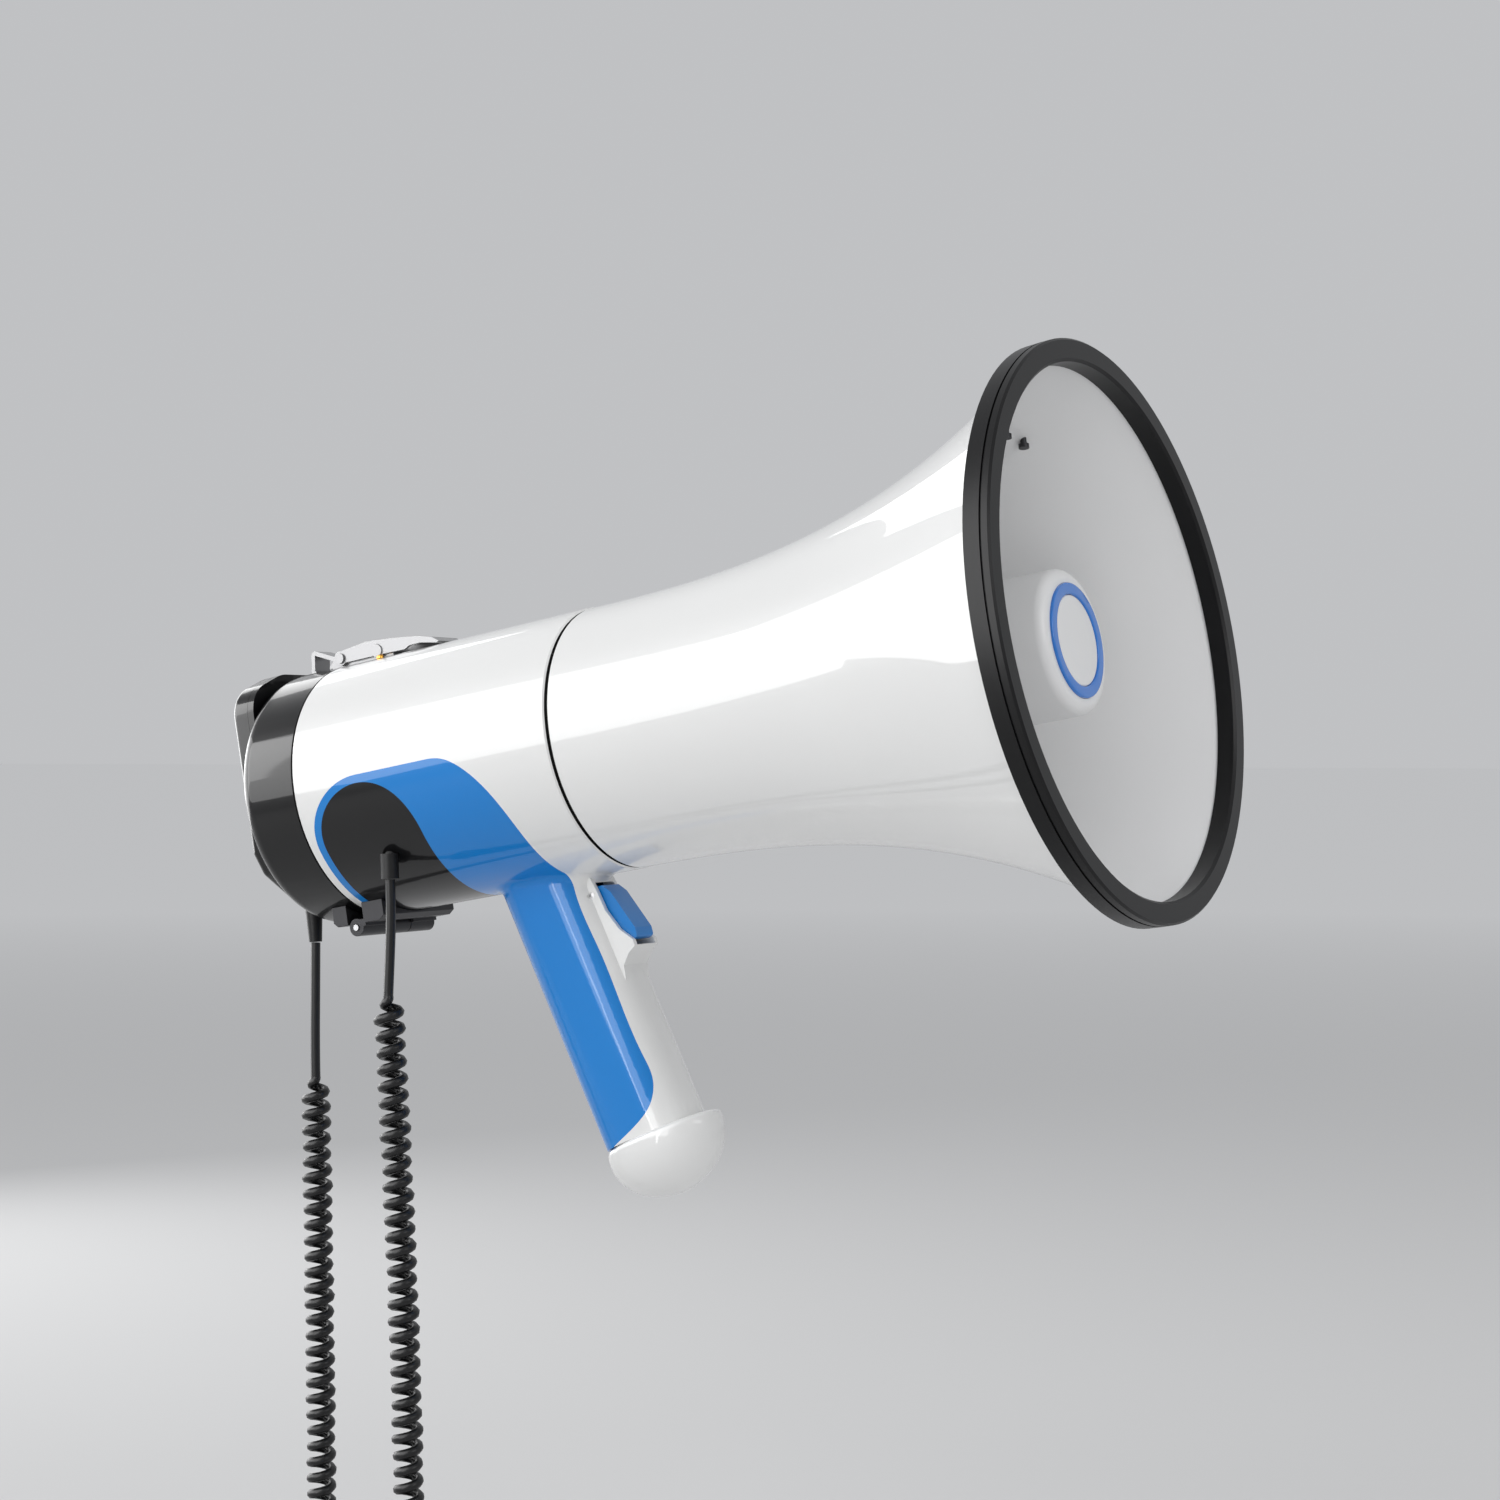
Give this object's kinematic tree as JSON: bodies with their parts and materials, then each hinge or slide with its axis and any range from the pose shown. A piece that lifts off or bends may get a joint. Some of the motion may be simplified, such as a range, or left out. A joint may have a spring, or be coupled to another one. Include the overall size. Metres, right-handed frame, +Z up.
{
  "type": "hand-held electric megaphone",
  "caption": "Hand-held electric megaphone with a re-entrant horn, pistol grip and trigger, latched rear battery cap and a parked hand microphone on a curly cord.",
  "frame": {"origin": "middle of the pistol grip, on its centre line, as the megaphone is held", "axes": "+X level, the way the horn points, which rises 10 degrees nose-up; +Y to the megaphone's left, the side with the volume knob; +Z up"},
  "size_m": [0.4044, 0.213, 0.5197],
  "materials": {
    "white_plastic": "satin",
    "blue_plastic": "satin",
    "black_plastic": "gloss",
    "black_matte": "matte",
    "black_rubber": "satin",
    "bright_steel": "polished",
    "dull_steel": "brushed",
    "dark_steel": "satin",
    "magnet_ferrite": "matte",
    "aluminium": "satin",
    "diaphragm_film": "satin",
    "board_green": "satin",
    "cell_jacket": "gloss",
    "cord_jacket": "satin"
  },
  "bodies": {
    "root": {"horn_bell": "white_plastic", "bell_rim": "black_rubber", "throat_tube": "white_plastic", "reflector_cup": "white_plastic", "reflector_ring": "blue_plastic", "reflector_disc": "white_plastic", "driver_housing": "black_matte", "driver_diaphragm": "diaphragm_film", "driver_magnet": "magnet_ferrite", "driver_back_plate": "dull_steel", "driver_screws": "dull_steel", "seam_gasket": "black_rubber", "strap_lug": "dark_steel", "lug_screws": "dark_steel", "body_upper_shell": "white_plastic", "body_lower_shell": "white_plastic", "grip_cover": "blue_plastic", "belly_panel": "black_plastic", "grip_end_cap": "white_plastic", "trigger_pin": "dull_steel", "trigger_spring": "dull_steel", "trigger_switch": "black_matte", "switch_bracket": "black_matte", "battery_bulkhead": "black_matte", "board_posts": "black_matte", "amplifier_board": "board_green", "heat_sink": "aluminium", "board_capacitors": "aluminium", "battery_holder": "black_matte", "battery_cells": "cell_jacket", "battery_contacts": "dull_steel", "volume_pot": "dull_steel", "mode_switch": "black_matte", "cord_gland": "black_matte", "latch_base": "bright_steel", "latch_pins": "bright_steel", "hinge_body_leaf": "dark_steel", "hinge_pin": "dull_steel", "cord_coil": "cord_jacket", "cord_side_tail": "cord_jacket"},
    "trigger": {"trigger": "blue_plastic"},
    "latch_lever": {"latch_lever": "bright_steel"},
    "latch_bail": {"latch_bail": "bright_steel"},
    "rear_cap": {"rear_cap": "black_plastic", "hinge_cap_leaf": "dark_steel", "latch_catch": "bright_steel", "mic_back_shell": "black_plastic", "mic_front_shell": "black_plastic", "mic_capsule": "dull_steel", "mic_relief": "black_rubber", "cord_mic_tail": "cord_jacket"},
    "volume_knob": {"volume_knob": "black_matte"},
    "mode_slider": {"mode_slider": "black_matte"},
    "talk_key": {"mic_talk_key": "black_matte"}
  },
  "joints": [
    {"name": "trigger_pull", "type": "hinge", "parent": "root", "child": "trigger", "pos_m": [-0.00577, 0, 0.05412], "axis": [0, 1, 0], "range_deg": [0, 5.5], "stiffness_Nm_per_rad": 0.6, "springref_deg": -6.88},
    {"name": "latch_lever_lift", "type": "hinge", "parent": "root", "child": "latch_lever", "pos_m": [-0.13047, 0, 0.14941], "axis": [0, -1, 0], "range_deg": [0, 120]},
    {"name": "latch_bail_swing", "type": "hinge", "parent": "latch_lever", "child": "latch_bail", "pos_m": [-0.11139, 0, 0.15237], "axis": [0, -1, 0], "range_deg": [-120, 0]},
    {"name": "cap_swing", "type": "hinge", "parent": "root", "child": "rear_cap", "pos_m": [-0.10997, 0, 0.0392], "axis": [0, -1, 0], "range_deg": [0, 90]},
    {"name": "volume_turn", "type": "hinge", "parent": "root", "child": "volume_knob", "pos_m": [-0.08915, 0.04868, 0.08037], "axis": [0.0651, 0.9272, -0.3689], "range_deg": [-135, 135]},
    {"name": "mode_slide", "type": "slide", "parent": "root", "child": "mode_slider", "axis": [0.9848, 0, 0.1736], "range_m": [-0.004, 0.004]},
    {"name": "talk_key_press", "type": "slide", "parent": "rear_cap", "child": "talk_key", "axis": [0, -1, 0], "range_m": [0, 0.0015], "stiffness_N_per_m": 600, "springref_m": -0.001}
  ],
  "couplings": [
    {"joint": "latch_bail_swing", "follows": "latch_lever_lift", "ratio": -1}
  ]
}
